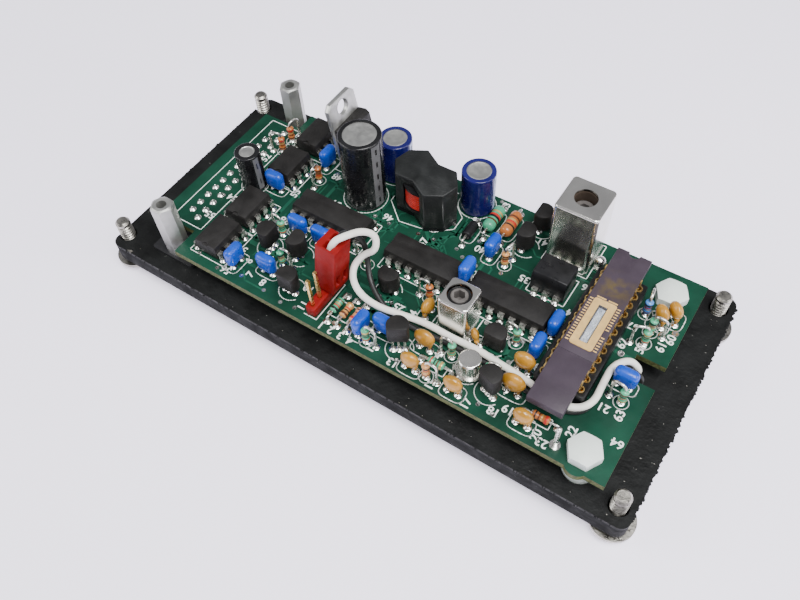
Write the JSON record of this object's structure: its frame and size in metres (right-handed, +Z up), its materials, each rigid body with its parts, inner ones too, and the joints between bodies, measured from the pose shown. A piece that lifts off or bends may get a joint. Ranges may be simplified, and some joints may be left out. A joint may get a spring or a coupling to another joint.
{
  "type": "line-scan image sensor circuit board",
  "caption": "Populated green circuit board with a long ceramic line-scan image sensor, held over a black mounting plate by standoffs and plastic bolts.",
  "frame": {"origin": "middle of the mounting plate's footprint, at the height of the screw heads it stands on", "axes": "+X along the plate's long side towards the image sensor, +Y across it towards the tall coil can, +Z up out of the board's component side"},
  "size_m": [0.1387, 0.0624, 0.0355],
  "materials": {
    "plate": "satin black paint",
    "gasket": "rough black sheet",
    "steel": "zinc plated",
    "aluminium": "machined",
    "nylon": "translucent white",
    "solder_mask": "green lacquer",
    "tinned": "tinned metal",
    "black_moulding": "moulded black",
    "gold": "gold plate",
    "purple_ceramic": "fired ceramic",
    "glass": "clear",
    "die": "pale polished chip",
    "screening_can": "tin plate",
    "ferrite": "sintered ferrite",
    "winding": "red insulated wire",
    "copper": "enamelled copper",
    "blue_sleeve": "shrunk film",
    "black_sleeve": "shrunk film",
    "blue_epoxy": "dipped epoxy",
    "amber_epoxy": "dipped epoxy",
    "resistor_lacquer": "lacquered",
    "red_plastic": "moulded red",
    "white_insulation": "extruded",
    "black_insulation": "extruded",
    "bung_rubber": "moulded"
  },
  "bodies": {
    "root": {"base_plate": "plate", "gasket_sheet": "gasket", "corner_screws": "steel", "corner_washers": "steel", "hex_standoffs": "aluminium", "standoff_screws": "steel", "plastic_bolts": "nylon", "plastic_spacers": "nylon", "circuit_board": "solder_mask", "connector_shell": "steel", "connector_insulator": "black_moulding", "connector_contacts": "gold", "amplifier_packages": "black_moulding", "amplifier_leads": "tinned", "logic_packages": "black_moulding", "logic_leads": "tinned", "sensor_body": "purple_ceramic", "sensor_lid": "gold", "sensor_window": "glass", "sensor_die": "die", "sensor_pins": "gold", "sensor_socket": "black_moulding", "socket_contacts": "gold", "large_coil_can": "screening_can", "large_coil_former": "black_moulding", "large_coil_winding": "copper", "small_coil_can": "screening_can", "small_coil_former": "black_moulding", "small_coil_winding": "copper", "transformer_module": "black_moulding", "transformer_leads": "tinned", "inductor_core": "ferrite", "inductor_bobbin": "black_moulding", "inductor_winding": "winding", "black_capacitor_sleeves": "black_sleeve", "blue_capacitor_sleeves": "blue_sleeve", "capacitor_cans": "aluminium", "capacitor_bungs": "bung_rubber", "regulator_body": "black_moulding", "regulator_tab": "tinned", "regulator_leads": "tinned", "transistor_bodies": "black_moulding", "transistor_leads": "tinned", "metal_transistor_header": "tinned", "metal_transistor_can": "tinned", "blue_chip_capacitors": "blue_epoxy", "bead_capacitors": "amber_epoxy", "resistor_bodies": "resistor_lacquer", "choke_bodies": "resistor_lacquer", "diode_bodies": "black_moulding", "component_leads": "tinned", "test_pins": "tinned", "header_base": "red_plastic", "header_pins": "gold", "white_lead": "white_insulation", "black_lead": "black_insulation"},
    "plug": {"plug_housing": "red_plastic", "plug_contacts": "tinned"},
    "large_slug": {"large_tuning_slug": "ferrite"},
    "small_slug": {"small_tuning_slug": "ferrite"}
  },
  "joints": [
    {"name": "plug_pull", "type": "slide", "parent": "root", "child": "plug", "axis": [0.0872, 0.0955, 0.9916], "range_m": [0, 0.008], "deforming": ["white_lead", "black_lead"]},
    {"name": "large_core_turn", "type": "hinge", "parent": "root", "child": "large_slug", "pos_m": [0.03135, 0.0196, 0.0275], "axis": [0, 0, 1], "range_deg": [-360, 360]},
    {"name": "small_core_turn", "type": "hinge", "parent": "root", "child": "small_slug", "pos_m": [0.01905, -0.01035, 0.0235], "axis": [0, 0, 1], "range_deg": [-360, 360]}
  ]
}
